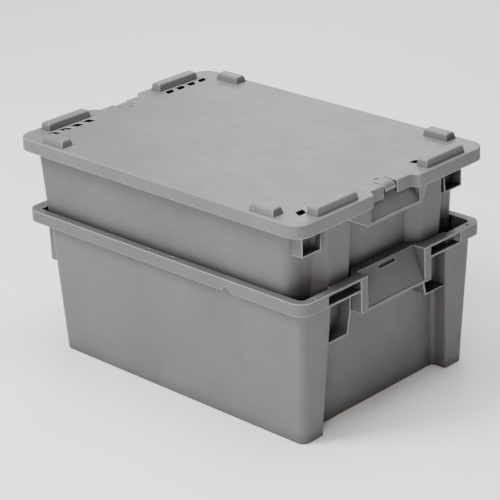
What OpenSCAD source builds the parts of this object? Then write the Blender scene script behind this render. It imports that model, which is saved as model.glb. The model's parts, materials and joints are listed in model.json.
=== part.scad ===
// Two stacking and nesting totes with a clip-on lid.
// +X points to the near short end, +Z up, origin at the centre of the base.
// Each tote has a corner-post end and an inset-post end. The upper tote is turned half a turn,
// so its posts stand on the shelves of the lower tote instead of nesting into it.

/* [Totes] */
// Height of the lower tote, base to rim
lower_h = 243; // [220:1:300]
// Height of the upper tote, base to rim
upper_h = 140; // [125:1:200]
// Drop from a rim to its stacking shelves
shelf_drop = 18; // [14:1:24]
// Thickness of the tote walls
wall = 3; // [2.5:0.25:3.5]

/* [Rim] */
// Length over the rim
rim_l = 610; // [606:1:610]
// Width over the rim
rim_w = 417; // [414:1:418]
// Height of the rim's skirt
rim_skirt = 20; // [16:1:24]
// Outer corner radius of the rim
rim_r = 22; // [18:1:26]

/* [Hand grips] */
// Drop of the lower tote's grip boxes below its rim
lower_grip_drop = 57; // [45:1:65]
// Drop of the upper tote's grip boxes below its rim
upper_grip_drop = 45; // [40:1:50]
// Half width of the grip box at the corner-post end
wide_grip = 81; // [78:0.5:81]
// Half width of the grip box at the inset-post end
narrow_grip = 62; // [61:0.5:64]

/* [Pocket boxes] */
// Drop of the lower tote's pocket boxes below its rim
lower_pocket_drop = 93; // [75:1:100]
// Drop of the upper tote's pocket boxes below its rim
upper_pocket_drop = 61; // [50:1:70]

/* [Lid] */
// Length over the lid
lid_l = 616; // [616:1:620]
// Width over the lid
lid_w = 428; // [424:1:432]
// Height of the lid's skirt
lid_skirt = 21; // [18:1:24]
// Height of the stacking rails above the lid
rail_h = 12; // [8:1:14]
// Height of the side blocks above the lid
block_h = 11; // [8:1:14]

/* [Hidden] */

$fn = 48;
EPS = 0.01;
BIG = 1000;
SIDES = [-1, 1];
// The leaning blocks are cut from blanks that reach below and above every tote.
blank_z = [-5, 310];

tote_grey = [0.56, 0.55, 0.57];
lid_grey = [0.66, 0.65, 0.66];

// Outer faces of a tote at its base, and how far each leans out per mm of height
side_y = 188.7;
side_lean = 0.035;
post_x = 279.2;
wall_a_x = 252.2;
lean_a = 0.059;
post_b_x = 282;
wall_b_x = 262;
lean_b = 0.04;
corner_r_a = 12;
corner_r_b = 20;

// Recess between the corner posts: half width at the base and its lean
recess_y = 145;
recess_r = 8;
recess_lean = 0.06;

// Inset posts in plan: where each leaves the wall and its face, and how each edge moves per mm up
post_b_root = [66.5, 146];
post_b_face = [84.5, 127.5];
post_b_root_lean = [-0.035, 0.015];
post_b_face_lean = [-0.06, 0.02];
post_side_draw = 0.45;

plate = 3;
skin = 2.5;
end_split_x = 240;

// Trays that carry the posts of the tote above
inner_tray_root_y = 62.5;
inner_tray_y = [81.5, 136];
inner_tray_root_x = 262.5;
inner_tray_x = 285;
corner_tray_y = 141.5;
corner_tray_x = 283;
corner_tray_back_x = 248;
flange_window_y = 152;

// Boxes below the trays: half widths at the top, at the kink beside the grip and at the sill
inner_box_y = [81, 82.5, 90];
corner_box_y = [137, 141];
corner_box_side_y = 182.5;

// Grip box
grip_panel_top_x = 283;
grip_strip = 13;
narrow_strip = 4;
grip_lip = 4;
grip_lip_out = 2;
latch_slot_half = 19;
latch_slot_top = 5;
latch_slot_h = 5;

// The inset-post end's grip cheeks run back to the posts' faces, and their lower edges climb
cheek_root = [285, 105];
cheek_root_w = 6;
cheek_rise = 24;
cheek_clear = 6;

// Holes in the rim and the notch in its skirt
drain_d = 5;
side_drain = [26, 200.5];
end_drain = [297, 178];
notch_x = 150;
notch_r = 11;
notch_sink = 4;

// Lid
lid_plate = 3;
lid_r = 26;
recess_half = [44, 53];
lid_recess_x = 295;
rail_base_x = [279, 301];
rail_base_y = [77, 168];
rail_top_x = [281, 299.5];
rail_top_y = [79.5, 165.5];
block_base_x = [203, 252];
block_base_y = [184, 208];
block_top_x = [205, 250];
block_top_y = [186, 205];
slot_x = [262, 276];
slot_y = [80, 178];
slot_count = 4;
slot_rib = 3;
slot_skew = 6;
latch_half = 12;
latch_gap = 3;
latch_root_x = 272;
latch_play = 0.3;
latch_slit_x = [265, 268];
latch_slit_half = 6;

// Latch tongue's profile: in from the lid's end recess, and down from the lid's underside
latch_inside = [[11, 0], [8, 1.5], [6.5, 4], [6.5, 8], [4, 8.5]];
latch_outside = [[0, 8.5], [-0.5, 5], [1.5, 0.5], [5, -2.2], [9, -3]];

upper_z = lower_h - shelf_drop;
lid_z = upper_z + upper_h;

// ---- Shapes shared by both totes -------------------------------------------------------

// One corner of a tote's block, as a disc of radius r that touches x and y from inside.
module corner_disc(x, y, z, r, inset) {
    rr = r - inset;
    translate([x > 0 ? x - inset - rr : x + inset + rr, y > 0 ? y - inset - rr : y + inset + rr, z])
        cylinder(r = rr, h = EPS);
}

// The tote's leaning block without its recess and posts, drawn back by inset.
module leaning_block(inset) {
    hull()
        for (z = blank_z, s = SIDES) {
            y = s * (side_y + side_lean * z);
            corner_disc(post_x + lean_a * z, y, z, corner_r_a, inset);
            corner_disc(-wall_b_x - lean_b * z, y, z, corner_r_b, inset);
        }
}

// The recess between the corner posts, grown by grow.
module end_recess(grow) {
    hull()
        for (z = blank_z, s = SIDES) {
            y = recess_y - recess_lean * z + grow;
            x = wall_a_x + lean_a * z - grow;
            rr = recess_r + grow;
            translate([x + rr, s * (y - rr), z])
                cylinder(r = rr, h = EPS);
            translate([x + BIG, s > 0 ? y - EPS : -y, z])
                cube(EPS);
        }
}

// One inset post at +y, standing out of the wall at -x.
module inset_post(inset) {
    side = post_side_draw * inset;
    hull()
        for (z = blank_z) {
            root_x = wall_b_x + lean_b * z - inset;
            face_x = post_b_x + lean_b * z - inset;
            root = post_b_root + z * post_b_root_lean + [side, -side];
            face = post_b_face + z * post_b_face_lean + [side, -side];
            translate([0, 0, z])
                linear_extrude(EPS)
                    polygon([
                        [-root_x + 2 * wall, root[0]],
                        [-root_x, root[0]],
                        [-face_x, face[0]],
                        [-face_x, face[1]],
                        [-root_x, root[1]],
                        [-root_x + 2 * wall, root[1]]
                    ]);
        }
}

// The tote's volume at its corner-post end and at its inset-post end, drawn back by inset.
module post_end_volume(inset) {
    difference() {
        leaning_block(inset);
        end_recess(inset);
    }
}

module inset_end_volume(inset) {
    leaning_block(inset);
    both_sides()
        inset_post(inset);
}

module tote_volume(inset) {
    post_end_volume(inset);
    both_sides()
        inset_post(inset);
}

// A box given by its two corners.
module span(low, high) {
    translate(low)
        cube(high - low);
}

// The same shape on both sides of the tote.
module both_sides() {
    for (s = SIDES)
        mirror([0, s < 0 ? 1 : 0, 0])
            children();
}

// A profile in x and z, pushed along y from y0 to y1.
module across(y0, y1) {
    translate([0, y1, 0])
        rotate([90, 0, 0])
            linear_extrude(y1 - y0)
                children();
}

// A profile in y and z, pushed along x from x0 to x1.
module along(x0, x1) {
    translate([x0, 0, 0])
        rotate([90, 0, 90])
            linear_extrude(x1 - x0)
                children();
}

// A rounded rectangle about the origin.
module rounded_plan(l, w, r) {
    square([l - 2 * r, w], center = true);
    square([l, w - 2 * r], center = true);
    for (x = SIDES, y = SIDES)
        translate([x * (l / 2 - r), y * (w / 2 - r)])
            circle(r);
}

// ---- Trays for the posts of the tote above ------------------------------------------------

// Room for an inset post of the tote above, from height z up, grown by grow.
module inner_tray(z, top, grow) {
    both_sides()
        translate([0, 0, z])
            linear_extrude(top - z)
                polygon([
                    [end_split_x, inner_tray_root_y - grow],
                    [inner_tray_root_x + grow / 2, inner_tray_root_y - grow],
                    [inner_tray_x + grow, inner_tray_y[0] - grow / 2],
                    [inner_tray_x + grow, inner_tray_y[1] + grow],
                    [end_split_x, inner_tray_y[1] + grow]
                ]);
}

// Room for a corner post of the tote above, from height z up, grown by grow.
module corner_tray(z, top, h, grow) {
    both_sides()
        span([-corner_tray_x - grow, corner_tray_y - grow, z],
             [-corner_tray_back_x, side_y + side_lean * h - skin + grow, top]);
}

// ---- Parts of a tote -------------------------------------------------------------------

module tote_floor() {
    intersection() {
        tote_volume(0);
        span([-BIG, -BIG, 0], [BIG, BIG, plate]);
    }
}

// A long wall, as a leaning strip between the floor and the rim.
module tote_side_wall(h, s) {
    top = h - plate;
    mirror([0, s < 0 ? 1 : 0, 0])
        along(-end_split_x, end_split_x)
            polygon([
                [side_y + side_lean * plate - wall, plate],
                [side_y + side_lean * plate, plate],
                [side_y + side_lean * top, top],
                [side_y + side_lean * top - wall, top]
            ]);
}

module tote_corner_post_end(h) {
    intersection() {
        difference() {
            post_end_volume(0);
            post_end_volume(wall);
            inner_tray(h - shelf_drop - plate, h, skin);
        }
        span([end_split_x, -BIG, plate], [BIG, BIG, h - plate]);
    }
}

module tote_inset_post_end(h) {
    intersection() {
        difference() {
            inset_end_volume(0);
            inset_end_volume(wall);
            corner_tray(h - shelf_drop - plate, h, h, skin);
        }
        span([-BIG, -BIG, plate], [-end_split_x, BIG, h - plate]);
    }
}

// What the rim leaves open: the mouth, the trays, the grip panels and the drain holes.
module rim_openings(h) {
    low = h - plate - 1;
    tote_volume(wall);
    inner_tray(low, h + 1, 0);
    corner_tray(low, h + 1, h, 0);
    span([grip_panel_top_x - skin, -wide_grip + grip_strip + skin, low],
         [BIG, wide_grip - grip_strip - skin, h + 1]);
    span([-BIG, -narrow_grip + narrow_strip + skin, low],
         [skin - grip_panel_top_x, narrow_grip - narrow_strip - skin, h + 1]);
    for (x = SIDES, y = SIDES) {
        translate([x * side_drain[0], y * side_drain[1], low])
            cylinder(d = drain_d, h = plate + 2);
        translate([x * end_drain[0], y * end_drain[1], low])
            cylinder(d = drain_d, h = plate + 2);
    }
}

// What the skirt leaves open: the grips, the flange windows and the notches.
module skirt_gaps(h) {
    low = h - rim_skirt - 1;
    span([0, -flange_window_y, low], [BIG, flange_window_y, h - plate]);
    narrow_gap = narrow_grip + cheek_clear;
    span([-BIG, -narrow_gap, low], [0, narrow_gap, h - plate]);
    for (s = SIDES)
        translate([notch_x, s * rim_w / 2, h - rim_skirt - notch_sink])
            rotate([90, 0, 0])
                cylinder(r = notch_r, h = 4 * skin, center = true);
}

module tote_rim(h) {
    difference() {
        translate([0, 0, h - plate])
            linear_extrude(plate)
                rounded_plan(rim_l, rim_w, rim_r);
        rim_openings(h);
    }
    difference() {
        translate([0, 0, h - rim_skirt])
            linear_extrude(rim_skirt - plate)
                difference() {
                    rounded_plan(rim_l, rim_w, rim_r);
                    rounded_plan(rim_l - 2 * skin, rim_w - 2 * skin, rim_r - skin);
                }
        skirt_gaps(h);
    }
}

// A grip box at +x: two front strips and a sloping panel with the latch slot, between the cheeks
// that are its children. The hand goes in from below, behind the panel.
module grip_box(h, drop, half, strip) {
    x1 = rim_l / 2;
    low = h - drop;
    top = h - plate;
    inner = half - strip;
    difference() {
        union() {
            both_sides() {
                children();
                span([x1 - skin, inner, low], [x1, half, top]);
                across(inner - skin, inner)
                    polygon([[grip_panel_top_x - skin, top], [x1 - skin, low], [x1, low], [x1, top]]);
            }
            across(-inner + skin, inner - skin)
                polygon([
                    [grip_panel_top_x - skin, top],
                    [x1 - 2 * skin, low + grip_lip],
                    [x1 - 2 * skin, low],
                    [x1, low],
                    [x1, low + grip_lip],
                    [x1 - grip_lip_out, low + grip_lip],
                    [grip_panel_top_x, h],
                    [grip_panel_top_x - skin, h]
                ]);
        }
        span([grip_panel_top_x - 4 * skin, -latch_slot_half, h - latch_slot_top - latch_slot_h],
             [x1, latch_slot_half, h - latch_slot_top]);
    }
}

// A cheek straight out from the end wall.
module straight_cheek(h, drop) {
    span([end_split_x, wide_grip - skin, h - drop], [rim_l / 2, wide_grip, h - plate]);
}

// A cheek that slants back to the face of an inset post.
module slanted_cheek(h, drop) {
    x1 = rim_l / 2;
    low = h - drop;
    difference() {
        translate([0, 0, low])
            linear_extrude(drop - plate)
                polygon([
                    [x1, narrow_grip - skin],
                    [x1, narrow_grip],
                    cheek_root,
                    cheek_root - [0, cheek_root_w],
                    [x1 - skin, narrow_grip - skin]
                ]);
        along(cheek_root[0] - 1, x1 + 1)
            polygon([
                [narrow_grip, low - 1],
                [narrow_grip, low],
                [cheek_root[1], low + cheek_rise],
                [cheek_root[1] + 1, low - 1]
            ]);
    }
}

module tote_wide_grip(h, drop) {
    difference() {
        grip_box(h, drop, wide_grip, grip_strip)
            straight_cheek(h, drop);
        post_end_volume(0);
        inner_tray(h - shelf_drop - plate, h, skin);
    }
}

module tote_narrow_grip(h, drop) {
    difference() {
        mirror([1, 0, 0])
            grip_box(h, drop, narrow_grip, narrow_strip)
                slanted_cheek(h, drop);
        inset_end_volume(0);
    }
}

// Trays between the grip and the corner posts, with the boxes that carry them.
module tote_inner_pockets(h, grip_drop, drop) {
    shelf = h - shelf_drop;
    sill = h - drop;
    difference() {
        union() {
            difference() {
                inner_tray(shelf - plate, h - plate, skin);
                inner_tray(shelf, h, 0);
            }
            both_sides() {
                span([inner_tray_x, wide_grip, shelf - plate], [rim_l / 2, flange_window_y, shelf]);
                along(end_split_x, inner_tray_x)
                    polygon([
                        [inner_box_y[0], shelf - plate],
                        [inner_box_y[1], h - grip_drop],
                        [inner_box_y[2], sill],
                        [recess_y, sill],
                        [recess_y, sill + skin],
                        [inner_box_y[2] + skin, sill + skin],
                        [inner_box_y[1] + skin, h - grip_drop],
                        [inner_box_y[0] + skin, shelf - plate]
                    ]);
            }
        }
        difference() {
            post_end_volume(0);
            difference() {
                inner_tray(shelf - plate, h, skin);
                post_end_volume(wall);
            }
        }
    }
}

// Trays in the corners at the inset-post end, with the boxes that carry them.
module tote_corner_pockets(h, drop) {
    shelf = h - shelf_drop;
    sill = h - drop;
    difference() {
        union() {
            difference() {
                corner_tray(shelf - plate, h - plate, h, skin);
                corner_tray(shelf, h, h, 0);
            }
            both_sides()
                along(-corner_tray_x, -end_split_x)
                    polygon([
                        [corner_box_y[0], shelf - plate],
                        [corner_box_y[1], sill],
                        [corner_box_side_y, sill],
                        [corner_box_side_y, shelf - plate],
                        [corner_box_side_y - skin, shelf - plate],
                        [corner_box_side_y - skin, sill + skin],
                        [corner_box_y[1] + skin, sill + skin],
                        [corner_box_y[0] + skin, shelf - plate]
                    ]);
        }
        difference() {
            inset_end_volume(0);
            difference() {
                corner_tray(shelf - plate, h, h, skin);
                inset_end_volume(wall);
            }
        }
    }
}

// ---- Lid -------------------------------------------------------------------------------

// The lid's outline with its end recesses, drawn back by inset.
module lid_plan(inset) {
    difference() {
        rounded_plan(lid_l - 2 * inset, lid_w - 2 * inset, lid_r - inset);
        for (s = SIDES)
            mirror([s < 0 ? 1 : 0, 0])
                polygon([
                    [lid_recess_x - inset, -recess_half[0] - inset],
                    [lid_l / 2 + 1, -recess_half[1] - inset],
                    [lid_l / 2 + 1, recess_half[1] + inset],
                    [lid_recess_x - inset, recess_half[0] + inset]
                ]);
    }
}

// One slanted slot beside a rail at +x.
module rail_slot(i) {
    pitch = (slot_y[1] - slot_y[0] + slot_rib) / slot_count;
    y = slot_y[0] + i * pitch;
    polygon([
        [slot_x[0], y],
        [slot_x[1], y + slot_skew],
        [slot_x[1], y + pitch - slot_rib],
        [slot_x[0], y + pitch - slot_rib - slot_skew]
    ]);
}

// Room for a latch tongue at +x: through the plate, through the skirt, and a slit at its root.
module latch_gap_room() {
    half = latch_half + latch_gap;
    root = latch_root_x - lid_plate / 2 - latch_play;
    span([root, -half, lid_z - 1], [BIG, half, lid_z + BIG]);
    span([latch_root_x, -half, lid_z - lid_skirt], [BIG, half, lid_z]);
    span([latch_slit_x[0], -latch_slit_half, lid_z - 1],
         [latch_slit_x[1], latch_slit_half, lid_z + BIG]);
}

module lid_panel() {
    color(lid_grey)
        difference() {
            union() {
                translate([0, 0, lid_z])
                    linear_extrude(lid_plate)
                        lid_plan(0);
                translate([0, 0, lid_z + lid_plate - lid_skirt])
                    linear_extrude(lid_skirt - lid_plate)
                        difference() {
                            lid_plan(0);
                            lid_plan(skin);
                        }
            }
            for (s = SIDES)
                mirror([s < 0 ? 1 : 0, 0, 0]) {
                    latch_gap_room();
                    both_sides()
                        for (i = [0 : slot_count - 1])
                            translate([0, 0, lid_z - 1])
                                linear_extrude(lid_plate + 2)
                                    rail_slot(i);
                }
        }
}

// A raised block with sloping sides, from its base and top outlines.
module raised_block(bx, by, tx, ty, height) {
    hull() {
        span([bx[0], by[0], 0], [bx[1], by[1], EPS]);
        span([tx[0], ty[0], height - EPS], [tx[1], ty[1], height]);
    }
}

module four_corners() {
    for (x = SIDES, y = SIDES)
        mirror([x < 0 ? 1 : 0, 0, 0])
            mirror([0, y < 0 ? 1 : 0, 0])
                children();
}

module lid_end_rails() {
    color(lid_grey)
        translate([0, 0, lid_z + lid_plate])
            four_corners()
                raised_block(rail_base_x, rail_base_y, rail_top_x, rail_top_y, rail_h);
}

module lid_side_blocks() {
    color(lid_grey)
        translate([0, 0, lid_z + lid_plate])
            four_corners()
                raised_block(block_base_x, block_base_y, block_top_x, block_top_y, block_h);
}

// A tongue that leaves the lid's plate, bends down over the edge and rests in the latch slot.
// Its root is rounded about the line that the living hinge bends on.
module lid_latch() {
    profile = [
        for (p = concat(latch_inside, latch_outside))
            [lid_recess_x - p[0], lid_z - p[1]]
    ];
    translate([latch_root_x, 0, lid_z + lid_plate / 2])
        rotate([90, 0, 0])
            cylinder(d = lid_plate, h = 2 * latch_half, center = true);
    across(-latch_half, latch_half)
        polygon(concat(
            [[latch_root_x, lid_z]],
            profile,
            [[latch_root_x, lid_z + lid_plate]]
        ));
}

module lid_front_latch() {
    color(lid_grey)
        lid_latch();
}

module lid_back_latch() {
    color(lid_grey)
        mirror([1, 0, 0])
            lid_latch();
}

// ---- Lower tote ------------------------------------------------------------------------

module lower_floor() { color(tote_grey) tote_floor(); }
module lower_left_wall() { color(tote_grey) tote_side_wall(lower_h, -1); }
module lower_right_wall() { color(tote_grey) tote_side_wall(lower_h, 1); }
module lower_corner_post_end() { color(tote_grey) tote_corner_post_end(lower_h); }
module lower_inset_post_end() { color(tote_grey) tote_inset_post_end(lower_h); }
module lower_rim() { color(tote_grey) tote_rim(lower_h); }
module lower_wide_grip() { color(tote_grey) tote_wide_grip(lower_h, lower_grip_drop); }
module lower_narrow_grip() { color(tote_grey) tote_narrow_grip(lower_h, lower_grip_drop); }
module lower_inner_pockets() {
    color(tote_grey)
        tote_inner_pockets(lower_h, lower_grip_drop, lower_pocket_drop);
}

module lower_corner_pockets() { color(tote_grey) tote_corner_pockets(lower_h, lower_pocket_drop); }

// ---- Upper tote, turned half a turn and standing on the lower one's shelves ----------------

module on_top() {
    color(tote_grey)
        translate([0, 0, upper_z])
            rotate([0, 0, 180])
                children();
}

module upper_floor() { on_top() tote_floor(); }
module upper_left_wall() { on_top() tote_side_wall(upper_h, 1); }
module upper_right_wall() { on_top() tote_side_wall(upper_h, -1); }
module upper_corner_post_end() { on_top() tote_corner_post_end(upper_h); }
module upper_inset_post_end() { on_top() tote_inset_post_end(upper_h); }
module upper_rim() { on_top() tote_rim(upper_h); }
module upper_wide_grip() { on_top() tote_wide_grip(upper_h, upper_grip_drop); }
module upper_narrow_grip() { on_top() tote_narrow_grip(upper_h, upper_grip_drop); }
module upper_inner_pockets() {
    on_top()
        tote_inner_pockets(upper_h, upper_grip_drop, upper_pocket_drop);
}

module upper_corner_pockets() { on_top() tote_corner_pockets(upper_h, upper_pocket_drop); }

lower_floor();
lower_left_wall();
lower_right_wall();
lower_corner_post_end();
lower_inset_post_end();
lower_rim();
lower_wide_grip();
lower_narrow_grip();
lower_inner_pockets();
lower_corner_pockets();
upper_floor();
upper_left_wall();
upper_right_wall();
upper_corner_post_end();
upper_inset_post_end();
upper_rim();
upper_wide_grip();
upper_narrow_grip();
upper_inner_pockets();
upper_corner_pockets();
lid_panel();
lid_end_rails();
lid_side_blocks();
lid_front_latch();
lid_back_latch();
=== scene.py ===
"""Looks for a shallow tote and its lid standing on a deeper tote, on a pale studio floor.

Every CAD zone is copied, its free edges are rounded as a mould rounds them, and the copy gets a
moulded-plastic material. An edge stays sharp where two zones of one moulding run into each other.
"""

import json
import math

import bmesh
import bpy
from mathutils import Matrix, Vector
from mathutils.bvhtree import BVHTree


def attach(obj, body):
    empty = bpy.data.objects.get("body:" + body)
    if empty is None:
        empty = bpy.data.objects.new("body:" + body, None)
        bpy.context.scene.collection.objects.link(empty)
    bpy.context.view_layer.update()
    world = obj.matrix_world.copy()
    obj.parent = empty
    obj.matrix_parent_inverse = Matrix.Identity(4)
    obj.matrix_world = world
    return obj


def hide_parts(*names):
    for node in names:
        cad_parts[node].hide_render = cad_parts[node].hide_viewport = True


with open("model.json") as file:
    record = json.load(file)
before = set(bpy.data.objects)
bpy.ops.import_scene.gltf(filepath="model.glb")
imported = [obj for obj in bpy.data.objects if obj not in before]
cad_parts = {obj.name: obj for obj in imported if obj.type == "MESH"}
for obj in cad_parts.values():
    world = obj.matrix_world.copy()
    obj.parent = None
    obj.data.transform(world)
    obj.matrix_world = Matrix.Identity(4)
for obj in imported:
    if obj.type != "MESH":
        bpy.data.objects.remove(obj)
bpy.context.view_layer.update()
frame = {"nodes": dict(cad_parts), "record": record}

MM = 0.001

# Edge rounding: the widths of the rounded strips, and how much of a narrow face they may take
TOTE_EDGE = 0.9 * MM
LID_EDGE = 2.0 * MM
RAIL_EDGE = 3.0 * MM
LATCH_EDGE = 0.8 * MM
POST_EDGE = 3.0 * MM
ROUND_SEGMENTS = 3
ROOM_SHARE = 0.38
# An edge whose direction's upward share is over this is a post's or a corner's edge
UPRIGHT = 0.9
# Strips up to the first width carry the full painted edge highlight, and from the second width on none
TIGHT_STRIP = 0.5 * MM
BROAD_STRIP = 1.3 * MM
SHARP_ANGLE = math.radians(30)
SMOOTH_ANGLE = math.radians(38)
FLAT_ANGLE = math.radians(0.6)

# Tolerances and probes for telling free edges from those that run into another zone
WELD = 0.02 * MM
STRAY = 0.05 * MM
PROBE_IN = 0.5 * MM
PROBE_OUT = 0.15 * MM
PROBE_REACH = 4 * MM
TINY = 1e-6
PARALLEL = 1e-9
FAR = 1.0

# Lines that run through the holes of the rims and the lid
SIDE_HOLE_X = 26 * MM
END_HOLE_Y = 178 * MM
LID_SLOT_X = 267.5 * MM

# Camera, looking from between +X and -Y
CAMERA_TARGET = Vector((0.1291, -0.1334, 0.2600))
CAMERA_DISTANCE = 3.086
CAMERA_AZIMUTH = math.radians(45.0)
CAMERA_ELEVATION = math.radians(23.25)
CAMERA_ROLL = math.radians(-2.55)
CAMERA_LENS = 147.5
CAMERA_SENSOR = 36.0

# Colours, in linear light
TOTE_COLOUR = (0.112, 0.107, 0.113)
LID_COLOUR = (0.132, 0.127, 0.132)
# The paler colour of the tight rounded strips is a painted highlight along the edges
EDGE_HIGHLIGHT_COLOUR = (0.330, 0.322, 0.330)
FLOOR_COLOUR = (0.93, 0.92, 0.905)
COOL_LIGHT = (0.97, 0.98, 1.0)
WARM_LIGHT = (1.0, 0.94, 0.88)

# Crevices within this reach of each other's walls are shaded to this share of the colour
CREVICE_REACH = 45 * MM
CREVICE_SHADE = 0.35
CREVICE_SAMPLES = 8

# Stage
FLOOR_HALF = 6.0
SURROUND_STRENGTH = 0.12
CAMERA_FAR = 50


# ---- Materials -----------------------------------------------------------------------------

def node_tree(name):
    """A new material, its nodes and a function that links two sockets."""
    material = bpy.data.materials.new(name)
    material.use_nodes = True
    tree = material.node_tree
    return material, tree.nodes, tree.links.new


def noise(nodes, link, coords, scale, detail, roughness=0.5):
    """A noise texture in object space."""
    texture = nodes.new("ShaderNodeTexNoise")
    texture.inputs["Scale"].default_value = scale
    texture.inputs["Detail"].default_value = detail
    texture.inputs["Roughness"].default_value = roughness
    link(coords, texture.inputs["Vector"])
    return texture.outputs["Fac"]


def remap(nodes, link, value, low, high, to_low, to_high):
    """A value moved from one range to another."""
    node = nodes.new("ShaderNodeMapRange")
    node.inputs["From Min"].default_value = low
    node.inputs["From Max"].default_value = high
    node.inputs["To Min"].default_value = to_low
    node.inputs["To Max"].default_value = to_high
    link(value, node.inputs["Value"])
    return node.outputs["Result"]


def mix_colour(nodes, link, factor, first, second):
    """Two colours mixed by a factor socket; first and second are sockets or plain colours."""
    node = nodes.new("ShaderNodeMix")
    node.data_type = "RGBA"
    colour_in = [s for s in node.inputs if s.type == "RGBA"]
    for socket, value in zip(colour_in, (first, second)):
        if isinstance(value, tuple):
            socket.default_value = (*value, 1)
        else:
            link(value, socket)
    link(factor, node.inputs["Factor"])
    return [s for s in node.outputs if s.type == "RGBA"][0]


def painted_edge_highlights(nodes, link, base):
    """The colour made paler on tight rounded strips, which carry 1 in the attribute "edge": a painted edge
    highlight.
    """
    highlight_strips = nodes.new("ShaderNodeAttribute")
    highlight_strips.attribute_name = "edge"
    amount = remap(nodes, link, highlight_strips.outputs["Fac"], 0.0, 1.0, 0.0, 0.85)
    return mix_colour(nodes, link, amount, base, EDGE_HIGHLIGHT_COLOUR)


def shaded_crevices(nodes, link, base, colour):
    """The colour made darker inside pockets, slots and slits."""
    crevice = nodes.new("ShaderNodeAmbientOcclusion")
    crevice.samples = CREVICE_SAMPLES
    crevice.inputs["Distance"].default_value = CREVICE_REACH
    open_air = remap(nodes, link, crevice.outputs["AO"], 0.25, 0.75, 0.0, 1.0)
    shaded = tuple(CREVICE_SHADE * c for c in colour)
    return mix_colour(nodes, link, open_air, shaded, base)


def bump(nodes, link, height, strength, distance):
    """A bump node over a height."""
    node = nodes.new("ShaderNodeBump")
    node.inputs["Strength"].default_value = strength
    node.inputs["Distance"].default_value = distance
    link(height, node.inputs["Height"])
    return node


def moulded_plastic(name, colour, roughness):
    """Matte moulded plastic: clouded colour, scuffs, fine spark-eroded grain, pale edges as a painted
    highlight and painted shade in crevices.
    """
    material, nodes, link = node_tree(name)
    shader = nodes["Principled BSDF"]
    coords = nodes.new("ShaderNodeTexCoord").outputs["Object"]

    clouds = noise(nodes, link, coords, 9.0, 3.0)
    flow = noise(nodes, link, coords, 42.0, 5.0, 0.62)
    grain = noise(nodes, link, coords, 900.0, 2.0)
    scuffs = noise(nodes, link, coords, 150.0, 8.0, 0.7)

    dark = tuple(0.93 * c for c in colour)
    light = tuple(1.07 * c for c in colour)
    base = mix_colour(nodes, link, remap(nodes, link, clouds, 0.35, 0.65, 0.0, 1.0), dark, light)
    streaks = remap(nodes, link, flow, 0.3, 0.7, 0.0, 0.16)
    base = mix_colour(nodes, link, streaks, base, dark)
    marks = remap(nodes, link, scuffs, 0.62, 0.78, 0.0, 0.22)
    base = mix_colour(nodes, link, marks, base, light)
    # Tight rounded strips made paler: a painted edge highlight
    base = painted_edge_highlights(nodes, link, base)
    base = shaded_crevices(nodes, link, base, colour)
    link(base, shader.inputs["Base Color"])

    rough = remap(nodes, link, flow, 0.3, 0.7, roughness - 0.05, roughness + 0.06)
    link(rough, shader.inputs["Roughness"])
    shader.inputs["Specular IOR Level"].default_value = 0.4

    fine = bump(nodes, link, grain, 0.12, 0.2 * MM)
    wavy = bump(nodes, link, clouds, 0.10, 1.5 * MM)
    link(fine.outputs["Normal"], wavy.inputs["Normal"])
    link(wavy.outputs["Normal"], shader.inputs["Normal"])
    return material


def floor_material():
    """Pale studio floor."""
    material, nodes, _ = node_tree("studio_floor")
    shader = nodes["Principled BSDF"]
    shader.inputs["Base Color"].default_value = (*FLOOR_COLOUR, 1)
    shader.inputs["Roughness"].default_value = 0.9
    shader.inputs["Specular IOR Level"].default_value = 0.1
    return material


# ---- Rounded copies of the CAD zones ---------------------------------------------------------

def seam_planes(node):
    """Planes through a zone's holes, as an axis and a place, so that no flat face keeps a hole."""
    x_axis, y_axis = 0, 1
    if node.endswith("_rim"):
        through_middle = [(x_axis, 0), (y_axis, 0)]
        through_side_holes = [(x_axis, s * SIDE_HOLE_X) for s in (-1, 1)]
        through_end_holes = [(y_axis, s * END_HOLE_Y) for s in (-1, 1)]
        return through_middle + through_side_holes + through_end_holes
    if node.endswith("_grip"):
        return [(y_axis, 0)]
    if node == "lid_panel":
        return [(y_axis, 0)] + [(x_axis, s * LID_SLOT_X) for s in (-1, 1)]
    return []


def clean_mesh(node):
    """The CAD node's mesh, welded, with its flat areas joined into faces that have no holes."""
    bm = bmesh.new()
    bm.from_mesh(frame["nodes"][node].data)
    bmesh.ops.remove_doubles(bm, verts=bm.verts, dist=WELD)
    for axis, place in seam_planes(node):
        normal = Vector((axis == 0, axis == 1, 0))
        cut = bmesh.ops.bisect_plane(
            bm, geom=bm.verts[:] + bm.edges[:] + bm.faces[:], dist=TINY,
            plane_co=normal * place, plane_no=normal,
        )
        for part in cut["geom_cut"]:
            if isinstance(part, bmesh.types.BMEdge):
                part.seam = True
    bmesh.ops.dissolve_limit(
        bm, angle_limit=FLAT_ANGLE, verts=bm.verts, edges=bm.edges, delimit={"SEAM"}
    )
    bm.normal_update()
    return bm


def zone_trees(nodes):
    """One search tree per node, for telling whether a point lies inside it."""
    trees = {}
    for node in nodes:
        bm = bmesh.new()
        bm.from_mesh(frame["nodes"][node].data)
        trees[node] = BVHTree.FromBMesh(bm)
        bm.free()
    return trees


def covered(point, trees, skip):
    """True if the point lies inside any other zone of the same moulding."""
    for node, tree in trees.items():
        if node == skip:
            continue
        hit, normal, _, distance = tree.find_nearest(point, PROBE_REACH)
        if hit is not None and (point - hit).dot(normal) < 0 and distance > TINY:
            return True
    return False


def way_in(loop):
    """The direction from a loop's edge into its face, and along the edge."""
    along = (loop.link_loop_next.vert.co - loop.vert.co).normalized()
    return loop.face.normal.cross(along), along


def free_edge(edge, trees, node):
    """True if both faces beside the edge are open air along the whole edge."""
    a, b = (v.co for v in edge.verts)
    for loop in edge.link_loops:
        inward, _ = way_in(loop)
        for t in (0.2, 0.5, 0.8):
            point = a.lerp(b, t) + inward * PROBE_IN + loop.face.normal * PROBE_OUT
            if covered(point, trees, node):
                return False
    return True


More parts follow.
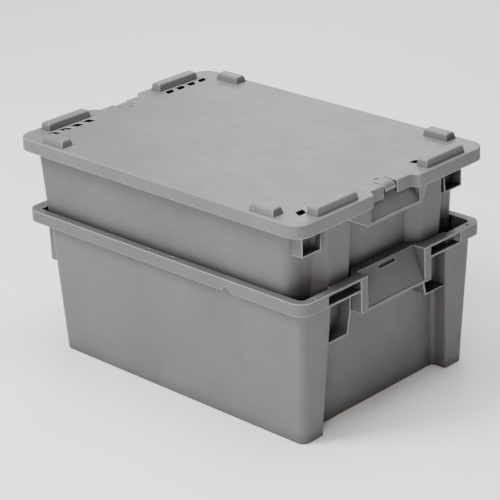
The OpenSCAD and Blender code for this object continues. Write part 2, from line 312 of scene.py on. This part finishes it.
def room_beside(edge):
    """How far the two faces reach from an edge before they meet another of their edges."""
    a, b = (v.co for v in edge.verts)
    nearest = FAR
    for loop in edge.link_loops:
        inward, along = way_in(loop)
        for t in (0.1, 0.5, 0.9):
            start = a.lerp(b, t)
            for other in loop.face.edges:
                if other is edge:
                    continue
                p, q = (v.co - start for v in other.verts)
                pu, qu = p.dot(along), q.dot(along)
                if pu * qu > 0 or abs(pu - qu) < PARALLEL:
                    continue
                reach = p.dot(inward) + (q - p).dot(inward) * pu / (pu - qu)
                if reach > TINY:
                    nearest = min(nearest, reach)
    return nearest


def edge_radius(node):
    """How far a zone's edges are rounded where there is room."""
    if node in ("lid_end_rails", "lid_side_blocks"):
        return RAIL_EDGE
    if node.endswith("_latch"):
        return LATCH_EDGE
    return LID_EDGE if node == "lid_panel" else TOTE_EDGE


def wanted_radius(node, edge):
    """How far one edge of a zone is rounded: posts and corners more, narrow strips less."""
    a, b = (v.co for v in edge.verts)
    radius = edge_radius(node)
    if node.endswith(("_post_end", "_floor")) and abs((b - a).normalized().z) > UPRIGHT:
        radius = POST_EDGE
    return min(radius, ROOM_SHARE * room_beside(edge))


def keep_inside(bm, tree):
    """Rounding only takes material away: a vertex that left the CAD solid goes back to its surface."""
    for vert in bm.verts:
        hit, normal, _, _ = tree.find_nearest(vert.co)
        if (vert.co - hit).dot(normal) > STRAY:
            vert.co = hit


def bevelled(mesh):
    """The mesh with its weighted edges rounded; the new strips get material slot 1."""
    scratch = bpy.data.objects.new("scratch", mesh)
    bpy.context.collection.objects.link(scratch)
    bevel = scratch.modifiers.new("bevel", "BEVEL")
    bevel.limit_method = "WEIGHT"
    bevel.width = POST_EDGE
    bevel.segments = ROUND_SEGMENTS
    bevel.use_clamp_overlap = False
    bevel.loop_slide = False
    bevel.material = 1
    evaluated = scratch.evaluated_get(bpy.context.evaluated_depsgraph_get())
    result = bpy.data.meshes.new_from_object(evaluated)
    bpy.data.objects.remove(scratch)
    return result


def edge_highlight_share(face):
    """How much painted highlight a rounded strip gets: fully on a tight edge, none on a broad one."""
    width = face.calc_area() / max(e.calc_length() for e in face.edges)
    return min(1.0, max(0.0, (BROAD_STRIP - width) / (BROAD_STRIP - TIGHT_STRIP)))


def weighted_mesh(node, trees, material):
    """The cleaned mesh of a node, each free outer edge weighted by how far it is rounded."""
    bm = clean_mesh(node)
    weight = bm.edges.layers.float.new("bevel_weight_edge")
    for edge in bm.edges:
        if (
            len(edge.link_faces) == 2
            and edge.is_convex
            and edge.calc_face_angle(0) > SHARP_ANGLE
            and free_edge(edge, trees, node)
        ):
            edge[weight] = wanted_radius(node, edge) / POST_EDGE
    sharp = bpy.data.meshes.new("sharp")
    bm.to_mesh(sharp)
    bm.free()
    sharp.materials.append(material)
    sharp.materials.append(None)
    return sharp


def rounded_mesh(node, trees, material):
    """A node's mesh with rounded edges, and the strips that carry the painted edge highlight marked in the
    attribute "edge".
    """
    bm = bmesh.new()
    bm.from_mesh(bevelled(weighted_mesh(node, trees, material)))
    keep_inside(bm, trees[node])
    layer = bm.loops.layers.float_color.new("edge")
    for face in bm.faces:
        # Rounded strips (material slot 1) get their share of the painted edge highlight
        value = edge_highlight_share(face) if face.material_index else 0.0
        for loop in face.loops:
            loop[layer] = (value, value, value, 1.0)
        face.material_index = 0
        face.smooth = True
    mesh = bpy.data.meshes.new(node + "_moulding")
    bm.to_mesh(mesh)
    bm.free()
    mesh.set_sharp_from_angle(angle=SMOOTH_ANGLE)
    mesh.materials.append(material)
    return mesh


def rounded_copy(node, trees, material, body):
    """A piece that stands for a CAD node, with its free outer edges rounded."""
    piece = bpy.data.objects.new(node + "_moulding", rounded_mesh(node, trees, material))
    bpy.context.collection.objects.link(piece)
    weighted = piece.modifiers.new("weighted_normals", "WEIGHTED_NORMAL")
    weighted.keep_sharp = True
    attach(piece, body)
    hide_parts(node)


def build_mouldings():
    """All CAD zones as rounded mouldings in their plastics."""
    tote_plastic = moulded_plastic("tote_plastic", TOTE_COLOUR, 0.52)
    lid_plastic = moulded_plastic("lid_plastic", LID_COLOUR, 0.50)
    for body, nodes in frame["record"]["behaviour"]["bodies"].items():
        trees = zone_trees(nodes)
        for node in nodes:
            material = lid_plastic if node.startswith("lid_") else tote_plastic
            rounded_copy(node, trees, material, body)


# ---- Stage, light and camera -------------------------------------------------------------------

def add_floor():
    """A wide pale floor under the totes."""
    mesh = bpy.data.meshes.new("floor")
    corners = [(-FLOOR_HALF, -FLOOR_HALF, 0), (FLOOR_HALF, -FLOOR_HALF, 0)]
    corners += [(FLOOR_HALF, FLOOR_HALF, 0), (-FLOOR_HALF, FLOOR_HALF, 0)]
    mesh.from_pydata(corners, [], [(0, 1, 2, 3)])
    floor = bpy.data.objects.new("floor", mesh)
    bpy.context.collection.objects.link(floor)
    mesh.materials.append(floor_material())


def add_area_light(name, position, target, size, power, colour):
    """A square soft box at position, facing target."""
    data = bpy.data.lights.new(name, "AREA")
    data.size = size
    data.energy = power
    data.color = colour
    light = bpy.data.objects.new(name, data)
    bpy.context.collection.objects.link(light)
    light.location = position
    light.rotation_euler = (Vector(target) - Vector(position)).to_track_quat("-Z", "Y").to_euler()


def add_light():
    """Soft boxes above, to the left and behind, a weak warm fill for the near end, and an even surround."""
    world = bpy.data.worlds.new("studio")
    bpy.context.scene.world = world
    world.use_nodes = True
    background = world.node_tree.nodes["Background"]
    background.inputs["Color"].default_value = (1, 1, 1, 1)
    background.inputs["Strength"].default_value = SURROUND_STRENGTH
    add_area_light("key_light", (-1.1, -2.0, 2.9), (0, 0, 0.2), 1.4, 185, COOL_LIGHT)
    add_area_light("top_light", (0.2, 0.2, 3.4), (0, 0, 0.2), 2.0, 135, COOL_LIGHT)
    add_area_light("back_light", (-1.8, 2.3, 1.8), (0, 0, 0.3), 1.2, 40, COOL_LIGHT)
    add_area_light("fill_light", (0.9, -1.1, 0.55), (0.3, -0.2, 0.2), 0.4, 8, WARM_LIGHT)


def add_camera():
    """The viewing angle of a catalogue shot, from the near corner and above."""
    out = Vector((
        math.sin(CAMERA_AZIMUTH) * math.cos(CAMERA_ELEVATION),
        -math.cos(CAMERA_AZIMUTH) * math.cos(CAMERA_ELEVATION),
        math.sin(CAMERA_ELEVATION),
    ))
    right = Vector((0, 0, 1)).cross(out).normalized()
    up = out.cross(right)
    rolled_right = right * math.cos(CAMERA_ROLL) + up * math.sin(CAMERA_ROLL)
    rolled_up = up * math.cos(CAMERA_ROLL) - right * math.sin(CAMERA_ROLL)
    data = bpy.data.cameras.new("camera")
    data.lens = CAMERA_LENS
    data.sensor_width = CAMERA_SENSOR
    data.clip_end = CAMERA_FAR
    camera = bpy.data.objects.new("camera", data)
    bpy.context.collection.objects.link(camera)
    turn = Matrix((rolled_right, rolled_up, out)).transposed().to_4x4()
    camera.matrix_world = Matrix.Translation(CAMERA_TARGET + out * CAMERA_DISTANCE) @ turn
    bpy.context.scene.camera = camera


build_mouldings()
add_floor()
add_light()
add_camera()
